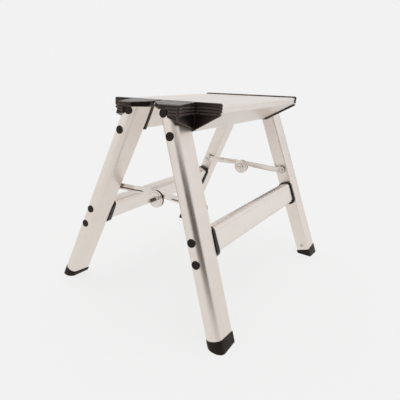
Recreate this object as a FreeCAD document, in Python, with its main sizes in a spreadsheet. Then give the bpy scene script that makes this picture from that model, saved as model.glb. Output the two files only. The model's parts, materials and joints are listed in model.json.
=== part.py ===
"""Folding two-step stool: two aluminium A-frames hinged along the middle of a split platform.

Frame: origin on the floor under the middle, +Z up, X along the hinge, +Y to the rear.
One quarter (far rear, +X +Y) is drawn and mirrored to the other three.
"""
import FreeCAD, Part
import math
import os
import re
import Sketcher

DIMENSIONS = {
    # whole stool
    "height": 440,
    "lean_slope": 0.394,
    "splay_slope": 0.098,
    # platform planks
    "plank_half_length": 197,
    "plank_half_width": 129,
    "plank_gap": 3,
    "plank_plate": 7,
    "plank_edge": 15.5,
    "plank_wall": 1.5,
    "edge_radius": 3,
    "edge_line_drop": 8,
    "flank_top": 25.5,
    "keel_inner": 46.5,
    "keel_outer": 57,
    "keel_drop": 57.7,
    # legs
    "leg_offset": 3,
    "leg_top_y": 38.3,
    "leg_width": 32,
    "leg_depth": 55.5,
    "leg_corner": 14,
    "leg_wall": 1.6,
    "foot_height": 16,
    # end caps
    "cap_plate": 6,
    "cap_rim": 3,
    "cap_gap": 2.5,
    "cap_length": 62.5,
    "cap_nose_inner": 34,
    "cap_nose_outer": 80,
    "cap_shoulder": 78,
    "cap_corner": 6,
    "roof_thick": 6,
    "roof_fall": 0.5,
    "skirt_inner": 50,
    "skirt_outer": 58,
    "skirt_set_back": 5.5,
    "skirt_drop": 31,
    "skirt_rise": 0.317,
    "skirt_slope": 0.3,
    "rib_first": 4.2,
    "rib_pitch": 5.5,
    "rib_groove": 2.6,
    "rib_depth": 1.4,
    "spigot_length": 18,
    # hinge
    "hinge_length": 25,
    "hinge_drop": 3.5,
    "knuckle_radius": 3,
    "pin_radius": 1.5,
    "running_clearance": 0.05,
    "side_clearance": 0.3,
    # steps and their sockets
    "step_drop": 258.5,
    "step_height": 54,
    "step_width": 30,
    "step_corner": 9,
    "step_wall": 1.5,
    "step_inset": 4,
    "step_line_drop": 11,
    "line_width": 1.4,
    "line_depth": 0.7,
    "socket_depth": 14,
    "socket_margin": 2,
    "socket_lip": 6,
    # plugs and screws
    "plug_radius": 8.5,
    "plug_proud": 1.5,
    "plug_length": 7,
    "plug_bevel": 1,
    "boss_drop": 22.5,
    "boss_shift": 3.5,
    "cap_plug_drop": 67.4,
    "step_plug_drop": 269,
    "step_plug_pitch": 42,
    "screw_radius": 2.5,
    "screw_length": 14,
    "screw_head_radius": 5,
    "screw_crown_radius": 3.5,
    "screw_head": 3,
    "foot_grow": 1.2,
    "foot_plug": 22,
    "foot_screw_rise": 13,
    # folding stays
    "stay_drop": 196.2,
    "stay_sag": 8,
    "stay_inset": 6,
    "link_thick": 2,
    "link_width": 14,
    "link_eye": 9,
    "flange_start": 24,
    "flange_end": 76,
    "flange_height": 2,
    "flange_thick": 1.6,
    "bead_offset": 2.5,
    "bead_width": 3,
    "bead_round": 1.4,
    "bead_depth": 0.8,
    "rivet_radius": 4,
    "rivet_head_radius": 7,
    "rivet_crown_radius": 4.5,
    "rivet_head": 2.5,
    "bush_radius": 6.5,
    "disc_radius": 17.5,
    "disc_thick": 3,
    "disc_bevel": 0.8,
    # springs across the outer discs
    "post_reach": 13.5,
    "post_radius": 1.3,
    "spring_radius": 2.6,
    "spring_wire": 0.8,
    "spring_slant": 31,
}
GROOVES = 3
COILS = 9

doc = FreeCAD.newDocument("step_stool")
sheet = doc.addObject("Spreadsheet::Sheet", "dims")
for row, (alias, number) in enumerate(DIMENSIONS.items(), 1):
    sheet.set(f"A{row}", alias)
    sheet.set(f"B{row}", str(number))
    sheet.setAlias(f"B{row}", alias)
doc.recompute()


# Expressions are written with bare names; bind() points each name at its cell
def bind(text):
    def cell(match):
        word = match.group(0)
        return f"dims.{word}" if word in DIMENSIONS else word
    return re.sub(r"[a-z_]+", cell, str(text))


def value(text):
    return float(sheet.evalExpression(f"({bind(text)}) * 1.0"))


def set_sizes(feature, **sizes):
    for name, text in sizes.items():
        feature.setExpression(name, bind(text))


def at(x, y, z, turn="rotation(0; 0; 0)"):
    return f"placement(vector({x}; {y}; {z}); {turn})"


def move(feature, place):
    feature.setExpression("Placement", bind(place))


# Places and turns shared by several pieces
FACE = "(plank_half_length + leg_offset)"
ALONG = "sqrt(1 + splay_slope ^ 2 + lean_slope ^ 2)"
SPLAY = "atan(splay_slope)"
LEAN = "atan(lean_slope)"
LEG_ROLL = "atan(lean_slope * cos(atan(splay_slope)))"
LEG_FRAME = at(FACE, "leg_top_y", "height", f"rotation(0; -{SPLAY}; {LEG_ROLL})")
STEP_FRAME = at("0", "leg_top_y + lean_slope * step_drop", "height - step_drop", f"rotation(0; 0; {LEAN})")
STAY_Y = "(leg_top_y + lean_slope * stay_drop)"
STAY_Z = "(height - stay_drop)"
STAY_FACE = f"({FACE} + splay_slope * stay_drop)"
STAY_REACH = f"sqrt({STAY_Y} ^ 2 + stay_sag ^ 2)"
BEYOND = "(2 * leg_depth)"
OUTWARDS = "rotation(0; 90; 0)"
INWARDS = "rotation(0; -90; 0)"


# Document helpers
def body(name):
    return doc.addObject("PartDesign::Body", name)


def sketch(owner, role, offset="0"):
    drawing = owner.newObject("Sketcher::SketchObject", f"{owner.Name}_sketch")
    plane = [item for item in owner.Origin.OriginFeatures if item.Role == role][0]
    drawing.AttachmentSupport = [(plane, "")]
    drawing.MapMode = "FlatFace"
    drawing.setExpression("AttachmentOffset.Base.z", bind(offset))
    return drawing


def fix_point(drawing, item, end, x, y):
    for kind, text in (("DistanceX", x), ("DistanceY", y)):
        index = drawing.addConstraint(Sketcher.Constraint(kind, item, end, value(text)))
        drawing.setExpression(f"Constraints[{index}]", bind(text))


def outline(drawing, corners):
    """Draw one closed loop, anticlockwise; a corner is (x, y) or (x, y, radius)."""
    count = len(corners)
    points = [FreeCAD.Vector(value(corner[0]), value(corner[1]), 0) for corner in corners]
    radii = [value(corner[2]) if len(corner) > 2 else 0 for corner in corners]
    arcs = []
    for index, point in enumerate(points):
        back = (points[index - 1] - point).normalize()
        ahead = (points[(index + 1) % count] - point).normalize()
        half = back.getAngle(ahead) / 2
        reach = radii[index] / math.tan(half)
        inset = radii[index] / math.sin(half) - radii[index]
        arcs.append((point + back * reach, point + (back + ahead).normalize() * inset, point + ahead * reach))
    lines = []
    for index in range(count):
        lines.append(drawing.addGeometry(Part.LineSegment(arcs[index][2], arcs[(index + 1) % count][0])))
    for index, corner in enumerate(corners):
        before, after = lines[index - 1], lines[index]
        if len(corner) == 2:
            drawing.addConstraint(Sketcher.Constraint("Coincident", before, 2, after, 1))
            fix_point(drawing, after, 1, corner[0], corner[1])
            continue
        mark = drawing.addGeometry(Part.Point(points[index]), True)
        fix_point(drawing, mark, 1, corner[0], corner[1])
        drawing.addConstraint(Sketcher.Constraint("PointOnObject", mark, 1, before))
        drawing.addConstraint(Sketcher.Constraint("PointOnObject", mark, 1, after))
        arc = drawing.addGeometry(Part.Arc(*arcs[index]))
        drawing.addConstraint(Sketcher.Constraint("Tangent", before, 2, arc, 1))
        drawing.addConstraint(Sketcher.Constraint("Tangent", arc, 2, after, 1))
        radius = drawing.addConstraint(Sketcher.Constraint("Radius", arc, radii[index]))
        drawing.setExpression(f"Constraints[{radius}]", bind(corner[2]))


def circle(drawing, x, y, radius):
    centre = FreeCAD.Vector(value(x), value(y), 0)
    curve = drawing.addGeometry(Part.Circle(centre, FreeCAD.Vector(0, 0, 1), value(radius)))
    fix_point(drawing, curve, 3, x, y)
    size = drawing.addConstraint(Sketcher.Constraint("Radius", curve, value(radius)))
    drawing.setExpression(f"Constraints[{size}]", bind(radius))


def pad(owner, drawing, length, kind="Pad"):
    feature = owner.newObject(f"PartDesign::{kind}", f"{owner.Name}_{kind}")
    feature.Profile = drawing
    set_sizes(feature, Length=length)
    doc.recompute()


def prism(name, role, start, length, *loops):
    """A body padded from one sketch of one or more loops."""
    owner = body(name)
    drawing = sketch(owner, role, start)
    for loop in loops:
        outline(drawing, loop)
    pad(owner, drawing, length)
    return owner


def cylinder(name, radius, length, place):
    rod = doc.addObject("Part::Cylinder", name)
    set_sizes(rod, Radius=radius, Height=length)
    move(rod, place)
    return rod


def cone(name, base, tip, length, place):
    crown = doc.addObject("Part::Cone", name)
    set_sizes(crown, Radius1=base, Radius2=tip, Height=length)
    move(crown, place)
    return crown


def box(name, length, width, tall, place):
    block = doc.addObject("Part::Box", name)
    set_sizes(block, Length=length, Width=width, Height=tall)
    move(block, place)
    return block


def cut(name, base, *tools):
    for index, tool in enumerate(tools):
        result = doc.addObject("Part::Cut", f"{name}_cut{index}")
        result.Base = base
        result.Tool = tool
        base = result
    doc.recompute()
    return base


def common(name, base, tool):
    result = doc.addObject("Part::Common", name)
    result.Base = base
    result.Tool = tool
    doc.recompute()
    return result


def fuse(name, *pieces):
    result = doc.addObject("Part::MultiFuse", name)
    result.Shapes = list(pieces)
    doc.recompute()
    return result


def group(name, *pieces):
    result = doc.addObject("Part::Compound", name)
    result.Links = list(pieces)
    doc.recompute()
    return result


def mirror(name, source, normal):
    result = doc.addObject("Part::Mirroring", name)
    result.Source = source
    result.Normal = normal
    doc.recompute()
    return result


NEAR = FreeCAD.Vector(1, 0, 0)
FRONT = FreeCAD.Vector(0, 1, 0)
finished = {}


def keep(label, feature):
    feature.Label = label
    finished[label] = feature


def keep_both(piece, far):
    """Keep a far piece and its near mirror image."""
    keep(f"far_{piece}", far)
    keep(f"near_{piece}", mirror(f"near_{piece}_mirror", far, NEAR))


def keep_four(piece, rear, front=None):
    """Keep a far rear piece, the mirror image of its front partner, and both near images."""
    keep_both(f"rear_{piece}", rear)
    keep_both(f"front_{piece}", mirror(f"far_front_{piece}_mirror", front or rear, FRONT))


def keep_ends(piece, far):
    """Keep the far and near piece of one frame as one group of two solids."""
    keep(piece, group(f"{piece}_pair", far, mirror(f"{piece}_near", far, NEAR)))


def line_notch(x, y):
    """Corners of a V-shaped line cut into a wall that runs up at x, centred on y."""
    return [(x, f"{y} - line_width / 2"), (f"{x} - line_depth", y), (x, f"{y} + line_width / 2")]


# Platform planks: hollow extrusions with a thin inner plate and a deep V-shaped keel
KEEL_Z = "(height - keel_drop)"
PLATE_Z = "(height - plank_plate)"
EDGE_Z = "(height - plank_edge)"
FLANK = f"((keel_inner - flank_top) / ({PLATE_Z} - {KEEL_Z}))"
SOFFIT = f"(({EDGE_Z} - {KEEL_Z}) / (plank_half_width - keel_outer))"
FLANK_WALL = f"(plank_wall * sqrt(1 + {FLANK} ^ 2))"
SOFFIT_WALL = f"(plank_wall * sqrt(1 + {SOFFIT} ^ 2))"
ROOF_Z = "(height - plank_wall)"
WEB_IN = "(keel_outer - plank_wall)"
WING_IN = "(plank_half_width - line_depth - plank_wall)"
plank_section = [
    ("plank_gap", PLATE_Z),
    ("flank_top", PLATE_Z),
    ("keel_inner", KEEL_Z),
    ("keel_outer", KEEL_Z),
    ("plank_half_width", EDGE_Z, "edge_radius"),
    *line_notch("plank_half_width", "height - edge_line_drop"),
    ("plank_half_width", "height", "edge_radius"),
    ("plank_gap", "height"),
]
keel_cavity = [
    (f"keel_inner - {FLANK} * plank_wall + {FLANK_WALL}", f"{KEEL_Z} + plank_wall"),
    (WEB_IN, f"{KEEL_Z} + plank_wall"),
    (WEB_IN, ROOF_Z),
    (f"flank_top + {FLANK} * (plank_wall - plank_plate) + {FLANK_WALL}", ROOF_Z),
]
wing_cavity = [
    ("keel_outer", f"{KEEL_Z} + {SOFFIT_WALL}"),
    (WING_IN, f"{KEEL_Z} + {SOFFIT} * ({WING_IN} - keel_outer) + {SOFFIT_WALL}"),
    (WING_IN, ROOF_Z),
    ("keel_outer", ROOF_Z),
]
rear_plank = prism("rear_plank_body", "YZ_Plane", "-plank_half_length", "2 * plank_half_length",
                   plank_section, keel_cavity, wing_cavity)
keep("rear_plank", rear_plank)
keep("front_plank", mirror("front_plank_mirror", rear_plank, FRONT))

# Legs: hollow D-section tubes, flat side inwards, drawn in the leg's frame and mitred under the cap's roof
LEG_HALF = "(leg_width / 2)"
LEG_FLOOR = f"(height * {ALONG})"
LEG_END = f"({LEG_FLOOR} - foot_height)"
leg_section = [
    ("0", f"-{LEG_HALF}"),
    ("leg_depth", f"-{LEG_HALF}", "leg_corner"),
    ("leg_depth", LEG_HALF, "leg_corner"),
    ("0", LEG_HALF),
]
leg_bore = [
    ("leg_wall", f"-{LEG_HALF} + leg_wall"),
    ("leg_depth - leg_wall", f"-{LEG_HALF} + leg_wall", "leg_corner - leg_wall"),
    ("leg_depth - leg_wall", f"{LEG_HALF} - leg_wall", "leg_corner - leg_wall"),
    ("leg_wall", f"{LEG_HALF} - leg_wall"),
]
headroom = box("headroom", f"2 * {BEYOND}", BEYOND, BEYOND,
               at("plank_half_length - leg_depth", "0", "height - roof_thick"))


def leg_prism(name, *loops):
    blank = prism(f"{name}_blank", "XY_Plane", f"-{LEG_END}", f"{LEG_END} + leg_width", *loops)
    move(blank, LEG_FRAME)
    return cut(name, blank, headroom)


leg_tube = leg_prism("leg_tube", leg_section, leg_bore)
leg_core = leg_prism("leg_core", leg_section)


def on_leg(x, z, turn=OUTWARDS, y="0"):
    return f"{LEG_FRAME} * {at(x, y, z, turn)}"


# Round plugs that close the access holes in the curved side of each leg
def plug(name, drop, y="0"):
    stem = cylinder(f"{name}_stem", "plug_radius", "plug_length - plug_bevel",
                    on_leg("leg_depth + plug_proud - plug_length", f"-({drop})", y=y))
    crown = cone(f"{name}_crown", "plug_radius", "plug_radius - plug_bevel", "plug_bevel",
                 on_leg("leg_depth + plug_proud - plug_bevel", f"-({drop})", y=y))
    return fuse(name, stem, crown)


LOWER_DROP = "step_plug_drop + step_plug_pitch"
plug_set = group("plug_set", plug("boss_plug", "boss_drop", "-boss_shift"), plug("cap_plug", "cap_plug_drop"),
                 plug("upper_plug", "step_plug_drop"), plug("lower_plug", LOWER_DROP))
keep_four("leg_plugs", plug_set)


# Screws through the flat wall: two into each step socket and one into each foot
def step_screw(name, drop):
    shank = cylinder(f"{name}_shank", "screw_radius", "screw_length + leg_wall",
                     on_leg("-screw_length", f"-({drop})"))
    head = cylinder(f"{name}_head", "screw_head_radius", "screw_head", on_leg("leg_wall", f"-({drop})"))
    return fuse(name, shank, head)


step_screws = group("step_screw_set", step_screw("upper_screw", "step_plug_drop"),
                    step_screw("lower_screw", LOWER_DROP))
keep_ends("rear_step_screws", step_screws)
keep_ends("front_step_screws", mirror("front_step_screw_set", step_screws, FRONT))
FOOT_SCREW_Z = f"foot_screw_rise - {LEG_END}"
foot_shank = cylinder("foot_screw_shank", "screw_radius", "leg_wall + screw_length",
                      on_leg("0", FOOT_SCREW_Z))
foot_head = cone("foot_screw_head", "screw_head_radius", "screw_crown_radius", "screw_head",
                 on_leg("0", FOOT_SCREW_Z, INWARDS))
foot_screw = fuse("foot_screw", foot_shank, foot_head)
keep_ends("rear_foot_screws", foot_screw)
keep_ends("front_foot_screws", mirror("front_foot_screw", foot_screw, FRONT))

# Pivot rivets of the stays, along X, with bushes that stand the links off the leg
REAR_FACE = f"({STAY_FACE} - stay_inset)"
FRONT_FACE = f"({REAR_FACE} - link_thick - side_clearance)"


def pivot(name, link_face):
    """Rivet and bush for a link whose face nearest the leg lies at link_face."""
    seat = f"({link_face} + side_clearance)"
    under = f"({link_face} - link_thick - side_clearance)"
    shank = cylinder(f"{name}_shank", "rivet_radius", f"{STAY_FACE} + leg_wall + rivet_head - {under}",
                     at(under, STAY_Y, STAY_Z, OUTWARDS))
    head = cone(f"{name}_head", "rivet_head_radius", "rivet_crown_radius", "rivet_head",
                at(under, STAY_Y, STAY_Z, INWARDS))
    sleeve = cylinder(f"{name}_sleeve", "bush_radius", f"{STAY_FACE} + leg_wall - {seat}",
                      at(seat, STAY_Y, STAY_Z, OUTWARDS))
    bush = cut(f"{name}_bush", sleeve, leg_core, shank)
    return fuse(f"{name}_rivet", shank, head), bush, shank


rear_rivet, rear_bush, pivot_hole = pivot("rear_pivot", REAR_FACE)
front_rivet, front_bush, _ = pivot("front_pivot", FRONT_FACE)
keep_ends("rear_stay_rivets", rear_rivet)
keep_ends("rear_stay_bushes", rear_bush)
keep_ends("front_stay_rivets", mirror("front_stay_rivet", front_rivet, FRONT))
keep_ends("front_stay_bushes", mirror("front_stay_bush", front_bush, FRONT))
leg = cut("leg", leg_tube, plug_set, step_screws, foot_screw, pivot_hole)
keep_four("leg", leg)

# Steps: rounded box extrusions lying square to the legs, with a line along the outer face
STEP_TALL = "(step_height / 2)"
STEP_HALF = "(step_width / 2)"
STEP_BORE_TALL = f"({STEP_TALL} - step_wall)"
STEP_BORE_HALF = f"({STEP_HALF} - line_depth - step_wall)"
STEP_END = f"({FACE} + splay_slope * step_drop - step_inset)"


def rounded(half_width, low, high, radius, *outer_face):
    return [(f"-{half_width}", f"-{low}", radius), (half_width, f"-{low}", radius), *outer_face,
            (half_width, high, radius), (f"-{half_width}", high, radius)]


step_full = rounded(STEP_HALF, STEP_TALL, STEP_TALL, "step_corner")
step_lined = rounded(STEP_HALF, STEP_TALL, STEP_TALL, "step_corner",
                     *line_notch(STEP_HALF, f"{STEP_TALL} - step_line_drop"))
step_bore = rounded(STEP_BORE_HALF, STEP_BORE_TALL, STEP_BORE_TALL, "step_corner - step_wall")
rear_step = prism("rear_step_body", "YZ_Plane", f"-{STEP_END}", f"2 * {STEP_END}", step_lined, step_bore)
step_core = prism("step_core", "YZ_Plane", f"-{STEP_END}", f"2 * {STEP_END}", step_full)
move(rear_step, STEP_FRAME)
move(step_core, STEP_FRAME)
keep("rear_step", rear_step)
keep("front_step", mirror("front_step_mirror", rear_step, FRONT))

# Step sockets: plastic cups between the step's end and the leg's flat side
socket_outline = rounded(f"({STEP_HALF} + socket_margin)", f"({STEP_TALL} + socket_lip)",
                         f"({STEP_TALL} + socket_margin)", "step_corner + socket_margin")
socket_block = prism("socket_block", "YZ_Plane", f"{STEP_END} + step_inset - socket_depth",
                     "2 * socket_depth", socket_outline)
move(socket_block, STEP_FRAME)
leg_side = box("leg_side", BEYOND, BEYOND, LEG_FLOOR,
               f"{LEG_FRAME} * {at('0', '-leg_depth', f'-{LEG_FLOOR}')}")
socket_cup = cut("step_socket", socket_block, leg_side, step_core, step_screws)
keep_four("step_socket", socket_cup)

# Feet: wedge-shaped rubber shoes with a spigot up the leg
foot_outline = [
    ("-foot_grow", f"-{LEG_HALF} - foot_grow"),
    ("leg_depth + foot_grow", f"-{LEG_HALF} - foot_grow", "leg_corner + foot_grow"),
    ("leg_depth + foot_grow", f"{LEG_HALF} + foot_grow", "leg_corner + foot_grow"),
    ("-foot_grow", f"{LEG_HALF} + foot_grow"),
]
GROUND_REACH = f"({FACE} + height + {BEYOND})"
foot_body = body("foot_body")
sole_sketch = sketch(foot_body, "XY_Plane", f"-{LEG_END} - 2 * foot_height")
outline(sole_sketch, foot_outline)
pad(foot_body, sole_sketch, "2 * foot_height")
spigot_sketch = sketch(foot_body, "XY_Plane", f"-{LEG_END}")
outline(spigot_sketch, leg_bore)
pad(foot_body, spigot_sketch, "foot_plug")
move(foot_body, LEG_FRAME)
ground = box("ground", f"2 * {GROUND_REACH}", GROUND_REACH, "height", at("0", "0", "-height"))
keep_four("foot", cut("foot", foot_body, ground, foot_screw))

# End caps: a plate with a rim all round closes the plank, a hood covers the leg's top
PLATE_END = "(plank_half_length + cap_plate)"
CAP_INNER = "(plank_half_length - spigot_length)"
CAP_OUTER = "(plank_half_width + cap_rim)"
NECK = f"({PLATE_END} + hinge_length)"
NOSE = f"({FACE} + cap_length)"
RIM_Z = "(height + cap_rim)"
STRIP_Z = f"({PLATE_Z} - cap_rim)"
plate_outline = [
    ("0", STRIP_Z),
    ("flank_top - cap_rim", STRIP_Z),
    ("keel_inner - cap_rim", f"{KEEL_Z} - cap_rim"),
    ("keel_outer + cap_rim", f"{KEEL_Z} - cap_rim"),
    (CAP_OUTER, f"{EDGE_Z} - cap_rim", "edge_radius + cap_rim"),
    (CAP_OUTER, RIM_Z, "edge_radius + cap_rim"),
    ("0", RIM_Z),
]
end_plate = prism("end_plate", "YZ_Plane", "plank_half_length", "cap_plate", plate_outline)
cap_spigot = prism("cap_spigot", "YZ_Plane", CAP_INNER, "spigot_length", keel_cavity)
plan_block = prism("plan_block", "XY_Plane", f"{KEEL_Z} - {BEYOND}", f"keel_drop + cap_rim + {BEYOND}", [
    (CAP_INNER, "0"),
    (NECK, "0"),
    (NOSE, "cap_nose_inner", "cap_corner"),
    (NOSE, "cap_nose_outer", "cap_corner"),
    (PLATE_END, "cap_shoulder"),
    (PLATE_END, CAP_OUTER, "cap_corner - rib_depth"),
    (CAP_INNER, CAP_OUTER),
])
hood_block = box("hood_block", BEYOND, CAP_OUTER, "keel_drop + cap_rim", at(PLATE_END, "0", KEEL_Z))

# The hood's hem slopes down to a corner at the plate; beside the boss only a strip under the roof is left
HEM_PITCH = "-atan(skirt_rise)"
HEM_ROLL = "-atan(skirt_slope * cos(atan(skirt_rise)))"
HEM_FRAME = at(NOSE, "cap_nose_outer", "height - skirt_drop", f"rotation(0; {HEM_PITCH}; {HEM_ROLL})")
hem_under = box("hem_under", f"2 * {BEYOND}", f"2 * {BEYOND}", BEYOND,
                f"{HEM_FRAME} * {at(f'-{BEYOND}', f'-{BEYOND}', f'-{BEYOND}')}")
strip_under = prism("strip_under", "XY_Plane", f"{STRIP_Z} - keel_drop", "keel_drop", [
    (PLATE_END, "0"),
    (f"{NOSE} + {BEYOND}", "0"),
    (f"{NOSE} + {BEYOND}", "skirt_outer"),
    (NOSE, "skirt_outer"),
    (f"{NOSE} - skirt_set_back", "skirt_inner"),
    (PLATE_END, "skirt_inner"),
])
ROOF_SLOPE = f"((cap_rim + roof_fall) / ({NOSE} - {PLATE_END}))"
roof_over = prism("roof_over", "XZ_Plane", f"-{CAP_OUTER}", CAP_OUTER, [
    (PLATE_END, RIM_Z),
    (f"{PLATE_END} + {BEYOND}", f"{RIM_Z} - {ROOF_SLOPE} * {BEYOND}"),
    (f"{PLATE_END} + {BEYOND}", f"{RIM_Z} + {BEYOND}"),
    (PLATE_END, f"{RIM_Z} + {BEYOND}"),
])
hood = cut("hood", hood_block, hem_under, strip_under, roof_over)
gap_between = prism("gap_between", "YZ_Plane", CAP_INNER, f"2 * {BEYOND}", [
    (f"-{BEYOND}", KEEL_Z),
    (f"cap_gap + lean_slope * ({RIM_Z} - {KEEL_Z})", KEEL_Z),
    ("cap_gap - lean_slope * cap_rim", f"{RIM_Z} + cap_rim"),
    (f"-{BEYOND}", f"{RIM_Z} + cap_rim"),
])


# Ribs are what is left between grooves that run round the outer walls; the wall below them is set back
def rib_cut(name, low, tall):
    return prism(name, "XY_Plane", low, tall, [
        (f"{NOSE} - rib_depth", "skirt_inner"),
        (f"{NOSE} + {BEYOND}", "skirt_inner"),
        (f"{NOSE} + {BEYOND}", f"{CAP_OUTER} + {BEYOND}"),
        (CAP_INNER, f"{CAP_OUTER} + {BEYOND}"),
        (CAP_INNER, f"{CAP_OUTER} - rib_depth"),
        (f"{PLATE_END} - rib_depth", f"{CAP_OUTER} - rib_depth", "cap_corner - 2 * rib_depth"),
        (f"{PLATE_END} - rib_depth", "cap_shoulder - rib_depth"),
        (f"{NOSE} - rib_depth", "cap_nose_outer - rib_depth", "cap_corner - rib_depth"),
    ])


rib_cuts = []
for index in range(GROOVES):
    groove_z = f"height - rib_first - {index} * rib_pitch - rib_groove / 2"
    rib_cuts.append(rib_cut(f"rib_groove_{index}", groove_z, "rib_groove"))
RIBS_TALL = f"(rib_first + {GROOVES} * rib_pitch - rib_groove / 2)"
rib_cuts.append(rib_cut("lower_wall", f"{KEEL_Z} - cap_rim", f"keel_drop + cap_rim - {RIBS_TALL}"))
cap_solid = common("cap_solid", fuse("cap_pieces", end_plate, cap_spigot, hood), plan_block)
cap_blank = cut("cap_blank", cap_solid, leg_core, plug_set, gap_between, *rib_cuts)

# Hinge: the rear caps hold the inner knuckle, the front caps the outer one, with a pin through both
HINGE_Z = "(height - hinge_drop)"
KNUCKLE_SPLIT = f"({PLATE_END} + hinge_length / 2)"
KNUCKLE_START = f"({PLATE_END} + side_clearance)"
KNUCKLE_END = f"({NECK} - side_clearance)"
ARM_REACH = "cap_gap + lean_slope * (cap_rim + hinge_drop + knuckle_radius) + cap_rim"


def knuckled(name, start, finish, bore):
    """Fuse one hinge knuckle and its arm to a cap and bore it for the pin."""
    length = f"{finish} - {start}"
    axis = at(start, "0", HINGE_Z, OUTWARDS)
    eye = cylinder(f"{name}_eye", "knuckle_radius", length, axis)
    arm = box(f"{name}_arm", length, ARM_REACH, "2 * knuckle_radius",
              at(start, "0", f"{HINGE_Z} - knuckle_radius"))
    hole = cylinder(f"{name}_hole", bore, length, axis)
    return cut(name, fuse(f"{name}_blank", cap_blank, eye, arm), hole)


rear_cap = knuckled("rear_cap", KNUCKLE_START, f"({KNUCKLE_SPLIT} - side_clearance / 2)",
                    "pin_radius + running_clearance")
front_cap = knuckled("front_cap", f"({KNUCKLE_SPLIT} + side_clearance / 2)", KNUCKLE_END, "pin_radius")
keep_four("cap", rear_cap, front_cap)
hinge_pin = cylinder("hinge_pin", "pin_radius", f"{KNUCKLE_END} - {KNUCKLE_START}",
                     at(KNUCKLE_START, "0", HINGE_Z, OUTWARDS))
keep_ends("hinge_pins", hinge_pin)


# Folding stays: flanged links with a pressed bead, which meet at a pair of riveted discs
def stay_link(name, face):
    owner = body(name)
    half = "(link_width / 2)"
    back = f"{face} - link_thick"
    web = sketch(owner, "YZ_Plane", back)
    outline(web, [("0", f"-{half}"), (STAY_REACH, f"-{half}"), (STAY_REACH, half), ("0", half)])
    pad(owner, web, "link_thick")
    for centre in ("0", STAY_REACH):
        eye = sketch(owner, "YZ_Plane", back)
        circle(eye, centre, "0", "link_eye")
        pad(owner, eye, "link_thick")
    for low, high in ((f"{half} - flange_thick", half), (f"-{half}", f"flange_thick - {half}")):
        flange = sketch(owner, "YZ_Plane", f"{back} - flange_height")
        outline(flange, [("flange_start", low), ("flange_end", low),
                         ("flange_end", high), ("flange_start", high)])
        pad(owner, flange, "flange_height")
    for centre, radius in (("0", "rivet_radius + running_clearance"), (STAY_REACH, "rivet_radius")):
        hole = sketch(owner, "YZ_Plane", face)
        circle(hole, centre, "0", radius)
        pad(owner, hole, "link_thick", "Pocket")
    low, high = "bead_offset - bead_width / 2", "bead_offset + bead_width / 2"
    bead = sketch(owner, "YZ_Plane", face)
    outline(bead, [("flange_start", low, "bead_round"), ("flange_end", low, "bead_round"),
                   ("flange_end", high, "bead_round"), ("flange_start", high, "bead_round")])
    pad(owner, bead, "bead_depth", "Pocket")
    return owner


# A link is drawn along +Y from the leg pivot and turned so that it points at the middle pivot
LINK_TURN = f"180 deg + atan(stay_sag / {STAY_Y})"
LINK_PLACE = at("0", STAY_Y, STAY_Z, f"rotation(0; 0; {LINK_TURN})")
rear_link = stay_link("rear_link", REAR_FACE)
front_link = stay_link("front_link", FRONT_FACE)
move(rear_link, LINK_PLACE)
move(front_link, LINK_PLACE)
keep_four("link", rear_link, front_link)

# The outer disc and half rivet ride on the rear link, the inner ones on the front link
MIDDLE_Z = f"({STAY_Z} - stay_sag)"
OUTER_FACE = f"({REAR_FACE} + disc_thick)"
INNER_BACK = f"({FRONT_FACE} - link_thick)"
INNER_FACE = f"({INNER_BACK} - disc_thick)"


def disc(name, seat, turn):
    plate = cylinder(f"{name}_plate", "disc_radius", "disc_thick - disc_bevel", at(seat, "0", MIDDLE_Z, turn))
    lip = cone(f"{name}_lip", "disc_radius", "disc_radius - disc_bevel", "disc_bevel",
               f"{at(seat, '0', MIDDLE_Z, turn)} * {at('0', '0', 'disc_thick - disc_bevel')}")
    return fuse(name, plate, lip)


def half_rivet(name, start, face, turn):
    shank = cylinder(f"{name}_shank", "rivet_radius", "link_thick + disc_thick",
                     at(start, "0", MIDDLE_Z, turn))
    head = cone(f"{name}_head", "rivet_head_radius", "rivet_crown_radius", "rivet_head",
                at(face, "0", MIDDLE_Z, turn))
    return fuse(name, shank, head)


outer_rivet = half_rivet("outer_half_rivet", f"({REAR_FACE} - link_thick)", OUTER_FACE, OUTWARDS)
inner_rivet = half_rivet("inner_half_rivet", FRONT_FACE, INNER_FACE, INWARDS)
keep_both("outer_centre_rivet", outer_rivet)
keep_both("inner_centre_rivet", inner_rivet)
keep_both("inner_disc", cut("inner_disc", disc("inner_disc_blank", INNER_BACK, INWARDS), inner_rivet))

# A closed-coil spring crosses each outer disc over the rivet and hooks on two posts
SPRING_TURN = "rotation(0; 0; -spring_slant)"
SPRING_RISE = "(rivet_head + side_clearance + spring_radius + spring_wire)"
SPRING_FRAME = at(f"{OUTER_FACE} + {SPRING_RISE}", "0", MIDDLE_Z, SPRING_TURN)
SPRING_HALF = f"({COILS} * spring_wire)"
SPRING_CREST = "(spring_radius + spring_wire)"
TAIL_HALF = "(post_reach - post_radius - spring_wire)"
coil_profile = [
    (f"-{TAIL_HALF}", "0"),
    (TAIL_HALF, "0"),
    (TAIL_HALF, "spring_wire"),
    (SPRING_HALF, "spring_wire"),
    (SPRING_HALF, "spring_radius"),
]
for index in range(COILS):
    coil_profile.append((f"{SPRING_HALF} - {2 * index + 1} * spring_wire", SPRING_CREST))
    coil_profile.append((f"{SPRING_HALF} - {2 * index + 2} * spring_wire", "spring_radius"))
coil_profile.append((f"-{SPRING_HALF}", "spring_wire"))
coil_profile.append((f"-{TAIL_HALF}", "spring_wire"))
coils = body("spring_coils")
coil_sketch = sketch(coils, "XY_Plane")
outline(coil_sketch, coil_profile)
turning = coils.newObject("PartDesign::Revolution", "spring_turning")
turning.Profile = coil_sketch
turning.ReferenceAxis = (coil_sketch, ["H_Axis"])
move(coils, f"{SPRING_FRAME} * {at('0', '0', '0', 'rotation(90; 0; 0)')}")
doc.recompute()
wires = [coils]
posts = []
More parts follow.
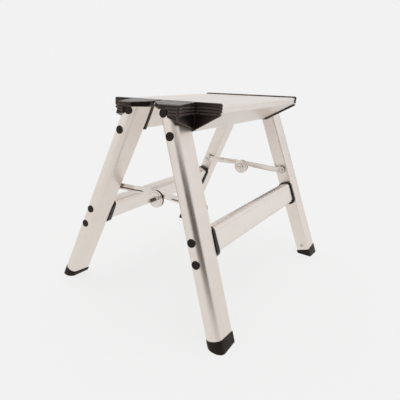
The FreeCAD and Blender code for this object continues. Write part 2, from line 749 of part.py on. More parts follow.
for tag, post_y in (("lower", "post_reach"), ("upper", "-post_reach")):
    eyelet_place = f"{SPRING_FRAME} * {at('-spring_wire', post_y, '0', OUTWARDS)}"
    band = cylinder(f"{tag}_band", "post_radius + 2 * spring_wire", "2 * spring_wire", eyelet_place)
    bore = cylinder(f"{tag}_bore", "post_radius + running_clearance", "2 * spring_wire", eyelet_place)
    wires.append(cut(f"{tag}_eyelet", band, bore))
    posts.append(cylinder(f"{tag}_post", "post_radius", f"{SPRING_RISE} + 2 * spring_wire",
                          f"{at(OUTER_FACE, '0', MIDDLE_Z, SPRING_TURN)} * {at('0', post_y, '0', OUTWARDS)}"))
keep_both("spring", fuse("spring", *wires))
outer_bored = cut("outer_bored", disc("outer_disc_blank", REAR_FACE, OUTWARDS), outer_rivet)
keep_both("outer_disc", fuse("outer_disc", outer_bored, *posts))

# Every object and every finished shape is checked before anything is written
doc.recompute()
faults = [item.Name for item in doc.Objects if "Invalid" in item.State or "Error" in item.State]
for label, feature in finished.items():
    if feature.Shape.isNull() or not feature.Shape.isValid() or not feature.Shape.Solids:
        faults.append(label)
if faults:
    raise RuntimeError(f"failed objects: {faults}")

os.makedirs("parts", exist_ok=True)
for label, feature in finished.items():
    feature.Shape.exportStep(f"parts/{label}.step")
    print(label, len(feature.Shape.Solids), round(feature.Shape.Volume, 1))
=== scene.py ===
import bpy
import json
import math
import numpy as np
from mathutils import Matrix

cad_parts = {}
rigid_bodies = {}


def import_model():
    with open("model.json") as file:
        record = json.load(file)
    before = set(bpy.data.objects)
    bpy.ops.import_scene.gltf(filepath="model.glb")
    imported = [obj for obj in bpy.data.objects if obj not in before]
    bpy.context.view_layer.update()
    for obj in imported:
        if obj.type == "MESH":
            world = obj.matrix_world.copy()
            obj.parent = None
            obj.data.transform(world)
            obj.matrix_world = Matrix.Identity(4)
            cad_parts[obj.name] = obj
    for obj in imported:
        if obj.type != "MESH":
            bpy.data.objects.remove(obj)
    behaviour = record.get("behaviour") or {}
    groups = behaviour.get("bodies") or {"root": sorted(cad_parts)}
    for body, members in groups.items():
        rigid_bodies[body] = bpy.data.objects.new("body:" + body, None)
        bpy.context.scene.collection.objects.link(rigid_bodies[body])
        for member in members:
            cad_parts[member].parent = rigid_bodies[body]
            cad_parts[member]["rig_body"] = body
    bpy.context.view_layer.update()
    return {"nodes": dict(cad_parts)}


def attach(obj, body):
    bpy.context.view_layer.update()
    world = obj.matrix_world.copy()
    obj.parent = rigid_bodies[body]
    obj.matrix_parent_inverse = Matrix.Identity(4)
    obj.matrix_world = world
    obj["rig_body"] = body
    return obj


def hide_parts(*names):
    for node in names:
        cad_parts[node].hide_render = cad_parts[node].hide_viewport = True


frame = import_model()

# Legs: four drawn aluminium tubes of D section, the flat side turned in and the round side out.
# They lean with their frame and splay endways, anodised in a warm satin silver,
# and run from inside the end cap down to the spigot of the foot.
ENDS = {"near": -1, "far": 1}
SIDES = {"front": -1, "rear": 1}
TOP = 0.440
LEAN = 0.394
SPLAY = 0.098
FACE = 0.200
LEG_TOP_Y = 0.0383
LEG_WIDTH = 0.032
LEG_DEPTH = 0.0555
LEG_ROUND = 0.014
LEG_EDGE = 0.0022
LEG_ROOF = 0.006
LEG_STOP = 0.016
LEG_ARC = 14
LEG_SATIN = (0.86, 0.79, 0.735)


def rounded(corners, steps=8):
    """A closed outline in the plane, as an array of points.

    Each corner is (x, y, radius). It becomes an arc that touches both of its sides: the arc's ends lie
    radius / tan(half angle) from the corner, and its centre radius / sin(half angle) along the bisector.
    """
    spots = np.array([corner[:2] for corner in corners], float)
    outline = []
    for spot, before, after, corner in zip(spots, np.roll(spots, 1, 0), np.roll(spots, -1, 0), corners):
        back = (before - spot) / np.linalg.norm(before - spot)
        ahead = (after - spot) / np.linalg.norm(after - spot)
        half = math.acos(np.clip(back @ ahead, -1, 1)) / 2
        bisector = (back + ahead) / np.linalg.norm(back + ahead)
        centre = spot + bisector * corner[2] / math.sin(half)
        first = spot + back * corner[2] / math.tan(half) - centre
        last = spot + ahead * corner[2] / math.tan(half) - centre
        share = np.linspace(0, 1, steps)[:, None]
        spoke = first * (1 - share) + last * share
        spoke *= corner[2] / np.linalg.norm(spoke, axis=1, keepdims=True)
        outline.append(centre + spoke)
    return np.concatenate(outline)


def skin(name, rings, sharp=32):
    """A closed mesh over rings[i, j]: ring i along the path, point j round the section.

    Quads join neighbouring rings, one flat face closes each end, and the whole is turned so that its
    signed volume, the sum of a . (b x c) over its triangles, is positive. The UV map holds the
    distance round the section and along the path, in metres.
    """
    rings = np.asarray(rings, float)
    count, size = rings.shape[:2]
    spots = rings.reshape(-1, 3)
    row, col = np.meshgrid(np.arange(count - 1), np.arange(size), indexing="ij")
    turn = (col + 1) % size
    quads = np.stack([row * size + col, row * size + turn,
                      (row + 1) * size + turn, (row + 1) * size + col], -1).reshape(-1, 4)
    ends = [np.arange(size)[::-1], np.arange(size) + (count - 1) * size]
    a, b, c, d = (spots[quads[:, k]] for k in range(4))
    volume = np.einsum("ij,ij->", a, np.cross(b, c)) + np.einsum("ij,ij->", a, np.cross(c, d))
    for face in ends:
        fan = spots[face]
        volume += np.einsum("j,ij->", fan[0], np.cross(fan[1:-1], fan[2:]))
    if volume < 0:
        quads = quads[:, ::-1]
        ends = [face[::-1] for face in ends]
    mesh = bpy.data.meshes.new(name)
    mesh.from_pydata(spots.tolist(), [], quads.tolist() + [face.tolist() for face in ends])
    across = np.append(0, np.cumsum(np.linalg.norm(np.roll(rings, -1, 1) - rings, axis=2).mean(0)))
    along = np.append(0, np.cumsum(np.linalg.norm(np.diff(rings, axis=0), axis=2).mean(1)))
    quad_rows, quad_cols = np.divmod(quads, size)
    quad_cols = np.where((quad_cols == 0) & (quad_cols.max(1, keepdims=True) == size - 1), size, quad_cols)
    end_rows, end_cols = np.divmod(np.concatenate(ends), size)
    uv = np.stack([across[np.append(quad_cols, end_cols)], along[np.append(quad_rows, end_rows)]], -1)
    mesh.uv_layers.new(name="run").data.foreach_set("uv", uv.astype(np.float32).ravel())
    mesh.polygons.foreach_set("use_smooth", np.ones(len(mesh.polygons), bool))
    mesh.set_sharp_from_angle(angle=math.radians(sharp))
    mesh.update()
    piece = bpy.data.objects.new(name, mesh)
    bpy.context.scene.collection.objects.link(piece)
    return piece


def dress(piece, material, slot, *nodes):
    """Give a piece its material, hide the CAD nodes it stands for, and put it on the body they ride on; slot
    is not used.
    """
    piece.data.materials.append(material)
    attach(piece, frame["nodes"][nodes[0]]["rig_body"])
    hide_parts(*nodes)


def new_material(name):
    """A node material, its tree and its Principled shader."""
    material = bpy.data.materials.new(name)
    material.use_nodes = True
    return material, material.node_tree, material.node_tree.nodes["Principled BSDF"]


def add(tree, kind, links=None, **values):
    """Add one node; values set its named properties or inputs, links join its inputs to sockets."""
    node = tree.nodes.new(kind)
    for key, setting in values.items():
        if hasattr(node, key):
            setattr(node, key, setting)
        else:
            node.inputs[key.replace("_", " ")].default_value = setting
    for key, socket in (links or {}).items():
        tree.links.new(socket, node.inputs[key])
    return node


def start_group(name, inputs, outputs=("Shade", "Roughness", "Height")):
    """A shader group that takes a coordinate and numbers and puts out values."""
    group = bpy.data.node_groups.new(name, "ShaderNodeTree")
    group.interface.new_socket("Coordinate", in_out="INPUT", socket_type="NodeSocketVector")
    for label in inputs:
        group.interface.new_socket(label, in_out="INPUT", socket_type="NodeSocketFloat")
    for label in outputs:
        group.interface.new_socket(label, in_out="OUTPUT", socket_type="NodeSocketFloat")
    return group, group.nodes.new("NodeGroupInput"), group.nodes.new("NodeGroupOutput")


def centred(group, socket):
    """A 0 to 1 noise moved to lie about zero."""
    moved = add(group, "ShaderNodeMath", {0: socket}, operation="SUBTRACT")
    moved.inputs[1].default_value = 0.5
    return moved.outputs[0]


def put_out(group, sink, strength, shade, roughness, height):
    """Shade = 1 + strength x shade, roughness = strength x roughness, height as it is."""
    lit = add(group, "ShaderNodeMath", {0: shade, 1: strength}, operation="MULTIPLY_ADD")
    lit.inputs[2].default_value = 1.0
    rough = add(group, "ShaderNodeMath", {0: roughness, 1: strength}, operation="MULTIPLY")
    group.links.new(lit.outputs[0], sink.inputs["Shade"])
    group.links.new(rough.outputs[0], sink.inputs["Roughness"])
    group.links.new(height, sink.inputs["Height"])


# Die lines of an extrusion: noise drawn out about eightyfold along the run gives hairlines, and
# broad noise the cloudy anodising. The coordinate goes across the run first and along it second, in metres.
DRAWN_OUT = (1, 0.012, 1)
die_lines, source, sink = start_group("die_lines", ("Lines", "Strength"))
drawn = add(die_lines, "ShaderNodeVectorMath", {0: source.outputs["Coordinate"]}, operation="MULTIPLY")
drawn.inputs[1].default_value = DRAWN_OUT
hair = add(die_lines, "ShaderNodeTexNoise", {"Vector": drawn.outputs[0], "Scale": source.outputs["Lines"]},
           Detail=3.0, Roughness=0.65)
cloud = add(die_lines, "ShaderNodeTexNoise", {"Vector": source.outputs["Coordinate"]}, Scale=38.0, Detail=3.0)
hair_off = centred(die_lines, hair.outputs["Fac"])
cloud_off = centred(die_lines, cloud.outputs["Fac"])
both = add(die_lines, "ShaderNodeMath", {0: hair_off, 1: cloud_off}, operation="ADD")
put_out(die_lines, sink, source.outputs["Strength"], both.outputs[0], hair_off, hair.outputs["Fac"])


def finish_with(name, group, coordinate, colour, roughness, metallic, height, **settings):
    """A material: colour x the group's shade, roughness + its roughness, and its height as a bump in metres.

    coordinate is "UV" for the piece's own run, "TURNED" for the run with its axes swapped, so that lines go
    round the piece, or "OBJECT" for places in the stool's frame, crosswise first and along the stay second.
    """
    material, tree, shader = new_material(name)
    if coordinate == "OBJECT":
        place = add(tree, "ShaderNodeTexCoord").outputs["Object"]
        x, y, z = add(tree, "ShaderNodeSeparateXYZ", {0: place}).outputs
        place = add(tree, "ShaderNodeCombineXYZ", {0: z, 1: y, 2: x}).outputs[0]
    else:
        place = add(tree, "ShaderNodeUVMap", uv_map="run").outputs[0]
    if coordinate == "TURNED":
        parts = add(tree, "ShaderNodeSeparateXYZ", {0: place})
        place = add(tree, "ShaderNodeCombineXYZ", {0: parts.outputs[1], 1: parts.outputs[0]}).outputs[0]
    effect = add(tree, "ShaderNodeGroup", node_tree=group)
    tree.links.new(place, effect.inputs["Coordinate"])
    for label, setting in settings.items():
        effect.inputs[label].default_value = setting
    tint = add(tree, "ShaderNodeVectorMath", {1: effect.outputs["Shade"]}, operation="MULTIPLY")
    tint.inputs[0].default_value = colour
    gloss = add(tree, "ShaderNodeMath", {0: effect.outputs["Roughness"]}, operation="ADD")
    gloss.inputs[1].default_value = roughness
    relief = add(tree, "ShaderNodeBump", {"Height": effect.outputs["Height"]}, Strength=0.25, Distance=height)
    tree.links.new(tint.outputs[0], shader.inputs["Base Color"])
    tree.links.new(gloss.outputs[0], shader.inputs["Roughness"])
    tree.links.new(relief.outputs[0], shader.inputs["Normal"])
    shader.inputs["Metallic"].default_value = metallic
    return material


leg_down = np.array([SPLAY, LEAN, -1.0]) / math.hypot(SPLAY, LEAN, 1)
leg_out = np.array([1.0, 0, SPLAY]) / math.hypot(1, SPLAY)
leg_side = np.cross(-leg_down, leg_out)
leg_head = np.array([FACE, LEG_TOP_Y, TOP])
leg_floor = TOP * math.hypot(SPLAY, LEAN, 1)
leg_length = leg_floor - LEG_STOP


def on_leg(out, side, down):
    """Points in the far rear leg's frame: out from its flat face, sideways with its lean, down its length."""
    out, side, down = np.broadcast_arrays(out, side, down)
    return leg_head + out[..., None] * leg_out + side[..., None] * leg_side + down[..., None] * leg_down


leg_section = rounded([(0, -LEG_WIDTH / 2, LEG_EDGE), (LEG_DEPTH, -LEG_WIDTH / 2, LEG_ROUND),
                       (LEG_DEPTH, LEG_WIDTH / 2, LEG_ROUND), (0, LEG_WIDTH / 2, LEG_EDGE)], LEG_ARC)
leg_mitre = (LEG_ROOF + leg_section[:, 0] * leg_out[2] + leg_section[:, 1] * leg_side[2]) / -leg_down[2]
leg_share = np.array([0, 0.5, 1])[:, None]
leg_rings = on_leg(leg_section[None, :, 0], leg_section[None, :, 1],
                   leg_mitre * (1 - leg_share) + leg_length * leg_share)
leg_metal = finish_with("satin_leg_tube", die_lines, "UV", LEG_SATIN, roughness=0.36, metallic=1.0,
                        height=0.00004, Lines=900.0, Strength=0.10)
for end, sx in ENDS.items():
    for side, sy in SIDES.items():
        leg = skin(f"{end}_{side}_leg_tube", leg_rings * (sx, sy, 1))
        dress(leg, leg_metal, "leg_aluminium", f"{end}_{side}_leg")

# Step sockets: black moulded cups on the flat side of the legs, deeper under the step than over it.
# They are screwed on through the leg, with the edges left round by the mould.
STEP_DROP = 0.2585
STEP_TALL = 0.054
STEP_WIDE = 0.030
STEP_ROUND = 0.009
STEP_ARC = 10
STEP_CLEAR = 0.004
STEP_END = FACE + SPLAY * STEP_DROP - STEP_CLEAR
SOCKET_DEPTH = 0.010
SOCKET_MARGIN = 0.0028
SOCKET_LIP = 0.0035
SOCKET_EDGE = 0.0006
SOCKET_INSIDE = 0.04
PLASTIC = (0.0070, 0.0050, 0.0043)
BROWN_SHEEN = (1.0, 0.80, 0.70, 1)
lean_angle = math.atan(LEAN)
half_wide = STEP_WIDE / 2
half_tall = STEP_TALL / 2


def brown_sheen(material, level):
    """Tint the reflections of a black finish brown and set how strong they are."""
    shader = material.node_tree.nodes["Principled BSDF"]
    shader.inputs["Specular Tint"].default_value = BROWN_SHEEN
    shader.inputs["Specular IOR Level"].default_value = level


# Spark grain of a mould: small cells for the texture, broad noise for flow marks in sheen and shade.
spark_grain, source, sink = start_group("spark_grain", ("Cells", "Strength"))
grain_place = source.outputs["Coordinate"]
cells = add(spark_grain, "ShaderNodeTexVoronoi", {"Vector": grain_place, "Scale": source.outputs["Cells"]},
            feature="SMOOTH_F1")
flow = add(spark_grain, "ShaderNodeTexNoise", {"Vector": grain_place}, Scale=55.0, Detail=4.0)
flow_off = centred(spark_grain, flow.outputs["Fac"])
put_out(spark_grain, sink, source.outputs["Strength"], flow_off, flow_off, cells.outputs["Distance"])
moulded = finish_with("black_moulding", spark_grain, "OBJECT", PLASTIC, roughness=0.30, metallic=0.0,
                      height=0.00010, Cells=1500.0, Strength=0.35)
brown_sheen(moulded, level=0.28)


def on_step(along, across, up):
    """Points in the rear step's own frame: along it, across it outwards, and up with the lean of the legs."""
    along, across, up = np.broadcast_arrays(along, across, up)
    back = LEG_TOP_Y + LEAN * STEP_DROP + across * math.cos(lean_angle) - up * math.sin(lean_angle)
    high = TOP - STEP_DROP + across * math.sin(lean_angle) + up * math.cos(lean_angle)
    return np.stack([along, back, high], -1)


def cup_outline(share):
    """The step's outline moved out by a share of the cup's margin, and of its lip underneath."""
    margin = SOCKET_MARGIN * share
    wide = half_wide + margin
    high = half_tall + margin
    low = high + SOCKET_LIP * share
    curve = STEP_ROUND + margin
    return rounded([(-wide, -low, curve), (wide, -low, curve), (wide, high, curve), (-wide, high, curve)],
                   STEP_ARC)


def leg_plane(outline):
    """How far along the step each line of an outline meets the flat side of the leg."""
    return FACE + SPLAY * (TOP - on_step(0, outline[:, 0], outline[:, 1])[:, 2])


mouth = STEP_END + STEP_CLEAR - SOCKET_DEPTH
mouth_middle = (1 + SOCKET_INSIDE) / 2
cup_rings = [on_step(leg_plane(cup_outline(1)), *cup_outline(1).T)]
for turn in np.linspace(0, math.pi, 9):
    share = mouth_middle + (1 - mouth_middle) * math.cos(turn)
    cup_rings.append(on_step(mouth - SOCKET_EDGE * 2 * math.sin(turn), *cup_outline(share).T))
cup_rings.append(on_step(STEP_END, *cup_outline(SOCKET_INSIDE).T))
cup_rings = np.array(cup_rings)
for end, sx in ENDS.items():
    for side, sy in SIDES.items():
        socket = skin(f"{end}_{side}_step_cup", cup_rings * (sx, sy, 1))
        dress(socket, moulded, "black_plastic", f"{end}_{side}_step_socket")

# Lower steps: rounded box extrusions that lie square to the legs, one on each frame.
# A fine line runs along the outer face under the upper rounding. Each end sits in its socket.
LINE_HALF = 0.0007
LINE_DEPTH = 0.0007
LINE_ROUND = 0.0002
STEP_LINE = 0.016
TREAD_SATIN = (0.89, 0.83, 0.78)
step_outline = rounded([
    (-half_wide, -half_tall, STEP_ROUND), (half_wide, -half_tall, STEP_ROUND),
    (half_wide, STEP_LINE - LINE_HALF, LINE_ROUND), (half_wide - LINE_DEPTH, STEP_LINE, LINE_ROUND),
    (half_wide, STEP_LINE + LINE_HALF, LINE_ROUND), (half_wide, half_tall, STEP_ROUND),
    (-half_wide, half_tall, STEP_ROUND)], STEP_ARC)
step_rings = on_step(np.array([-STEP_END, 0, STEP_END])[:, None], *step_outline.T)
tread_metal = finish_with("satin_tread", die_lines, "UV", TREAD_SATIN, roughness=0.34, metallic=1.0,
                          height=0.00004, Lines=700.0, Strength=0.08)
for side, sy in SIDES.items():
    step = skin(f"{side}_lower_step", step_rings * (1, sy, 1))
    dress(step, tread_metal, "plank_aluminium", f"{side}_step")

# Feet: black rubber wedges pushed up into the legs and cut level with the floor,
# a little wider than the tube, with every edge rounded.
FOOT_GROW = 0.0012
FOOT_EDGE = 0.0012
FOOT_CORNER = 0.0012
RUBBER = (0.010, 0.0075, 0.0065)


def foot_section(grow):
    """The leg's outline moved out by grow."""
    half = LEG_WIDTH / 2 + grow
    deep = LEG_DEPTH + grow
    return rounded([(-grow, -half, FOOT_CORNER + grow), (deep, -half, LEG_ROUND + grow),
                    (deep, half, LEG_ROUND + grow), (-grow, half, FOOT_CORNER + grow)], LEG_ARC)


def floor_down(section):
    """How far down the leg each line of a section meets the floor."""
    return (TOP + section[:, 0] * leg_out[2] + section[:, 1] * leg_side[2]) / -leg_down[2]


quarter = np.linspace(0, math.pi / 2, 6)
foot_sections = [foot_section(FOOT_GROW - FOOT_EDGE * (1 - math.sin(turn))) for turn in quarter]
foot_inset = FOOT_EDGE * (1 - np.cos(quarter))
upper_rings = [on_leg(*section.T, leg_length + inset) for section, inset in zip(foot_sections, foot_inset)]
lower_rings = [on_leg(*section.T, floor_down(section) - inset)
               for section, inset in zip(foot_sections, foot_inset)]
foot_rings = np.array(upper_rings + lower_rings[::-1])
rubber = finish_with("black_rubber", spark_grain, "OBJECT", RUBBER, roughness=0.50, metallic=0.0,
                     height=0.0002, Cells=900.0, Strength=0.30)
brown_sheen(rubber, level=0.25)
for end, sx in ENDS.items():
    for side, sy in SIDES.items():
        foot = skin(f"{end}_{side}_rubber_foot", foot_rings * (sx, sy, 1))
        dress(foot, rubber, "foot_rubber", f"{end}_{side}_foot")

# Foot screws: plated pan-head screws with a cross recess, one near the foot of each leg.
# They are driven through the flat wall into the rubber.
SCREW_RISE = 0.013
SCREW_HEAD = 0.005
SCREW_TALL = 0.0028
SCREW_SUNK = 0.001
SCREW_RIM = 0.2
RECESS = 0.0017
RECESS_ARM = 0.0030
RECESS_HALF = 0.0007
RECESS_WALL = 0.0003
RECESS_END = 0.0006
CORE = 0.0001
FASTENER = (0.72, 0.68, 0.63)


def soft_step(value, width):
    """0 below zero, 1 above width, a smooth ramp between."""
    share = np.clip(value / width, 0, 1)
    return share * share * (3 - 2 * share)


spin = np.linspace(0, 2 * math.pi, 64, endpoint=False)[None, :]
head_reach = np.append(SCREW_HEAD, np.linspace(SCREW_HEAD, CORE, 40))[:, None]
head_x = head_reach * np.cos(spin)
head_y = head_reach * np.sin(spin)
head_rise = SCREW_TALL * np.sqrt(np.clip(1 - (head_reach / SCREW_HEAD) ** 3, SCREW_RIM ** 2, 1))
in_arm = soft_step(RECESS_HALF - np.minimum(np.abs(head_x), np.abs(head_y)), RECESS_WALL)
head_rise = head_rise - RECESS * in_arm * soft_step(RECESS_ARM - head_reach, RECESS_END)
head_rise[0] = -SCREW_SUNK
screw_rings = on_leg(-head_rise, head_x, leg_length - SCREW_RISE + head_y)
turned_metal = finish_with("turned_steel", die_lines, "TURNED", FASTENER, roughness=0.26, metallic=1.0,
                           height=0.00003, Lines=2600.0, Strength=0.18)
for end, sx in ENDS.items():
    for side, sy in SIDES.items():
        screw = skin(f"{end}_{side}_foot_screw_head", screw_rings * (sx, sy, 1), 40)
        dress(screw, turned_metal, "fastener_steel", f"{side}_foot_screws")

# Step screws, stay bushes and hinge pins: plain plated steel, as the CAD has them.
# They are all but hidden in the tubes, behind the links and in the knuckles of the caps.
HIDDEN_STEEL = ("front_step_screws", "rear_step_screws",
                "front_stay_bushes", "rear_stay_bushes", "hinge_pins")
plated_steel = finish_with("plated_steel", die_lines, "OBJECT", FASTENER, roughness=0.30, metallic=1.0,
                           height=0.00003, Lines=1800.0, Strength=0.15)
for node in HIDDEN_STEEL:
    frame["nodes"][node].data.materials.clear()
    frame["nodes"][node].data.materials.append(plated_steel)

# Plugs: black press-in buttons that close the screw holes in the round side of each leg.
# One more sits in the end cap over the leg's top. Each has a thin raised ring round a shallow dish.
PLUG_RADIUS = 0.0085
PLUG_PROUD = 0.0015
PLUG_SUNK = 0.0055
PLUG_LEAD = 0.0008
PLUG_EDGE = 0.001
PLUG_RING = 0.0066
PLUG_DISH = 0.0004
PLUG_MIDDLE = 0.003
PLUG_PLACES = {"cap": (-0.0035, 0.0225), "upper": (0, 0.0674), "step": (0, 0.269), "lower": (0, 0.311)}


def arc(reach, rise, radius, start, stop, steps=6):
    """Points (reach, rise) on a circle, from one angle to another, in degrees."""
    turn = np.radians(np.linspace(start, stop, steps))
    return np.stack([reach + radius * np.cos(turn), rise + radius * np.sin(turn)], -1)


def turned(profile, seat, axis, steps=56):
    """Rings of a turned piece: each (reach, rise) of the profile goes round the axis on the seat."""
    axis = np.asarray(axis, float) / np.linalg.norm(axis)
    aside = np.cross(axis, (0, 0, 1))
    aside /= np.linalg.norm(aside)
    angle = np.linspace(0, 2 * math.pi, steps, endpoint=False)[:, None]
    spoke = np.cos(angle) * aside + np.sin(angle) * np.cross(axis, aside)
    reach, rise = np.asarray(profile, float).T[..., None, None]
    return np.asarray(seat) + rise * axis + reach * spoke


plug_profile = np.concatenate([
    [(PLUG_RADIUS - PLUG_LEAD, -PLUG_SUNK), (PLUG_RADIUS, -PLUG_SUNK + PLUG_LEAD)],
    arc(PLUG_RADIUS - PLUG_EDGE, PLUG_PROUD - PLUG_EDGE, PLUG_EDGE, 0, 90),
    arc(PLUG_RING, PLUG_PROUD - PLUG_DISH, PLUG_DISH, 90, 180),
    [(PLUG_RING - 4 * PLUG_DISH, PLUG_PROUD - 0.8 * PLUG_DISH),
     (PLUG_MIDDLE, PLUG_PROUD - 0.3 * PLUG_DISH), (CORE, PLUG_PROUD - 0.2 * PLUG_DISH)],
])
for end, sx in ENDS.items():
    for side, sy in SIDES.items():
        for place, (shift, drop) in PLUG_PLACES.items():
            plug_rings = turned(plug_profile, on_leg(LEG_DEPTH, shift, drop), leg_out)
            plug = skin(f"{end}_{side}_{place}_plug", plug_rings * (sx, sy, 1))
            dress(plug, moulded, "black_plastic", f"{end}_{side}_leg_plugs")

# Platform planks: two hollow extrusions with a flat top, a rounded outer edge, a sloping soffit and a keel.
# Fine grooves run along the top for grip and a line along the edge. They sit on the caps' spigots.
PLANK_HALF = 0.197
PLANK_GAP = 0.003
PLANK_EDGE_Y = 0.129
PLANK_LINE = 0.432
PLANK_EDGE = 0.003
PLANK_ARC = 8
WEB_Z = 0.433
WEB_ROUND = 0.0004
FLANK_ROUND = 0.0008
GAP_ROUND = 0.0006
KEEL_Z = 0.3823
KEEL_ROUND = 0.0010
EDGE_LOW_Z = 0.4245
FLANK_TOP = (0.0255, WEB_Z)
FLANK_FOOT = (0.0465, KEEL_Z)
SOFFIT_FOOT = (0.057, KEEL_Z)
SOFFIT_TOP = (PLANK_EDGE_Y, EDGE_LOW_Z)
GROOVE_PITCH = 0.010
GROOVE_WIDTH = 0.0016
GROOVE_DEPTH = 0.0003
GROOVES_FROM = PLANK_EDGE_Y - 0.006
GROOVES_TO = PLANK_GAP + 0.002
plank_outline = rounded([
    (PLANK_GAP, WEB_Z, WEB_ROUND), (*FLANK_TOP, FLANK_ROUND), (*FLANK_FOOT, KEEL_ROUND),
    (*SOFFIT_FOOT, KEEL_ROUND), (*SOFFIT_TOP, PLANK_EDGE),
    (PLANK_EDGE_Y, PLANK_LINE - LINE_HALF, LINE_ROUND), (PLANK_EDGE_Y - LINE_DEPTH, PLANK_LINE, LINE_ROUND),
    (PLANK_EDGE_Y, PLANK_LINE + LINE_HALF, LINE_ROUND), (PLANK_EDGE_Y, TOP, PLANK_EDGE),
    (PLANK_GAP, TOP, GAP_ROUND)], PLANK_ARC)
tread = np.arange(GROOVES_FROM, GROOVES_TO, -GROOVE_WIDTH / 8)
off_groove = ((tread / GROOVE_PITCH) % 1 - 0.5) * GROOVE_PITCH
trough = np.cos(np.pi * np.clip(off_groove / GROOVE_WIDTH, -0.5, 0.5))
tread_line = np.stack([tread, TOP - GROOVE_DEPTH * trough], -1)
plank_outline = np.concatenate([plank_outline[:-PLANK_ARC], tread_line, plank_outline[-PLANK_ARC:]])
plank_rings = np.zeros((3, len(plank_outline), 3))
plank_rings[..., 0] = np.array([-PLANK_HALF, 0, PLANK_HALF])[:, None]
plank_rings[..., 1:] = plank_outline
for side, sy in SIDES.items():
    plank = skin(f"{side}_platform_plank", plank_rings * (1, sy, 1))
    dress(plank, tread_metal, "plank_aluminium", f"{side}_plank")

# End caps: one black moulding on each plank end, with a rim round the plank, a hood over the leg's top,
# four ribs round it, a hem that falls to a point and knuckles for the hinge pins. They are fine remeshes
# of the CAD's caps, which gives their edges the mould's rounding. The crests carry a painted highlight.
CAP_PITCH = 0.0007
CAP_ROUNDING = 5
CAP_TOP = 0.4429
MERGE = 0.000005
PLATE_END = 0.2035
RIM_START = 0.1972
RIM_LEFT = 0.0015
RIM_SEAT = -0.001
RIM_FULL = 0.0035
NOSE_REACH = (0.203, 0.2625)
NOSE_ACROSS = (0.05, 0.08)
NOSE_HEIGHT = (0.409, 0.440)
SLANT_LOW = 0.005
SLANT_MORE = 0.009
HEM_RISE = 0.007
HEM_TOP = 0.425
HEM_DEEP = 0.016
# The brighter colour of the painted highlight on the crests, and the pointiness over which it comes in.
CREST_HIGHLIGHT_COLOUR = (0.080, 0.064, 0.056)
CREST_FROM = 0.502
CREST_TO = 0.525


def share_of(value, low, high):
    """0 below low, 1 above high, straight between."""
    return np.clip((value - low) / (high - low), 0, 1)


def off_line(spots, start, stop):
    """How far points (y, z) lie to the right of the line from start to stop, and the unit step that way."""
    along = np.subtract(stop, start) / np.linalg.norm(np.subtract(stop, start))
    aside = np.array([along[1], -along[0]])
    return (spots - start) @ aside, aside


def cap_spots(node, side):
    """A cap's merged points and its triangles, with the moulding's thin and slanting places worked in.

    Under the plank the rim goes in from its full thickness to RIM_LEFT, measured square to the soffit and
    to the keel's flank. On the rear caps the nose slants: its side goes in by SLANT_LOW at the hem, and by
    SLANT_MORE besides at the roof, times how far out a point lies along the nose and across it, and the
    hem rises.
    """
    data = frame["nodes"][node].data
    spots = np.empty(len(data.vertices) * 3, np.float32)
    data.vertices.foreach_get("co", spots)
    corners = np.empty(len(data.loops), np.int32)
    data.loops.foreach_get("vertex_index", corners)
    steps = np.round(spots.reshape(-1, 3).astype(float) / MERGE)
    spots, merged = np.unique(steps, axis=0, return_inverse=True)
    spots *= MERGE
    sign = np.sign(spots[:, 1].mean())
    reach = np.abs(spots[:, 0])
    across = spots[:, 1] * sign
    high = spots[:, 2]
    for start, stop in ((FLANK_TOP, FLANK_FOOT), (SOFFIT_FOOT, SOFFIT_TOP)):
        off, aside = off_line(np.stack([across, high], -1), start, stop)
        rim = (reach < PLATE_END) & (off > RIM_SEAT) & (off < RIM_FULL)
        reach = np.where(rim, np.maximum(reach, RIM_START), reach)
        moved = np.where(rim, np.minimum(RIM_LEFT - off, 0), 0)
        across = across + moved * aside[0]
        high = high + moved * aside[1]
    if side == "rear":
        out = share_of(reach, *NOSE_REACH) * share_of(across, *NOSE_ACROSS)
        across = across - out * (SLANT_LOW + SLANT_MORE * share_of(high, *NOSE_HEIGHT))
        high = high + HEM_RISE * out * share_of(HEM_TOP - high, 0, HEM_DEEP)
    spots = np.stack([reach * np.sign(spots[:, 0]), across * sign, np.minimum(high, CAP_TOP)], -1)
    return spots, merged.ravel()[corners].reshape(-1, 3)


cap_plastic = finish_with("rubbed_cap_moulding", spark_grain, "OBJECT", PLASTIC, roughness=0.30, metallic=0.0,
                          height=0.00010, Cells=1500.0, Strength=0.35)
brown_sheen(cap_plastic, level=0.42)
# Painted highlight: where pointiness marks a convex crest, the colour goes over to a brighter brown, standing
# in for light caught on the ribs.
tree = cap_plastic.node_tree
cap_colour = tree.nodes["Principled BSDF"].inputs["Base Color"]
bent = add(tree, "ShaderNodeNewGeometry").outputs["Pointiness"]
crest = add(tree, "ShaderNodeMapRange", {"Value": bent}, From_Min=CREST_FROM, From_Max=CREST_TO,
            interpolation_type="SMOOTHSTEP")
rubbed = add(tree, "ShaderNodeMix", {"Factor": crest.outputs[0], 6: cap_colour.links[0].from_socket},
             data_type="RGBA")
rubbed.inputs[7].default_value = (*CREST_HIGHLIGHT_COLOUR, 1)
tree.links.new(rubbed.outputs[2], cap_colour)
for end in ENDS:
    for side in SIDES:
        spots, faces = cap_spots(f"{end}_{side}_cap", side)
        cap_mesh = bpy.data.meshes.new(f"{end}_{side}_end_cap")
        cap_mesh.from_pydata(spots.tolist(), [], faces.tolist())
        cap = bpy.data.objects.new(f"{end}_{side}_end_cap", cap_mesh)
        bpy.context.scene.collection.objects.link(cap)
        cast = cap.modifiers.new("cast", "REMESH")
        cast.mode = "VOXEL"
        cast.voxel_size = CAP_PITCH
        cast.use_smooth_shade = True
        rounding = cap.modifiers.new("mould_edges", "SMOOTH")
        rounding.factor = 0.5
        rounding.iterations = CAP_ROUNDING
        dress(cap, cap_plastic, "black_plastic", f"{end}_{side}_cap")

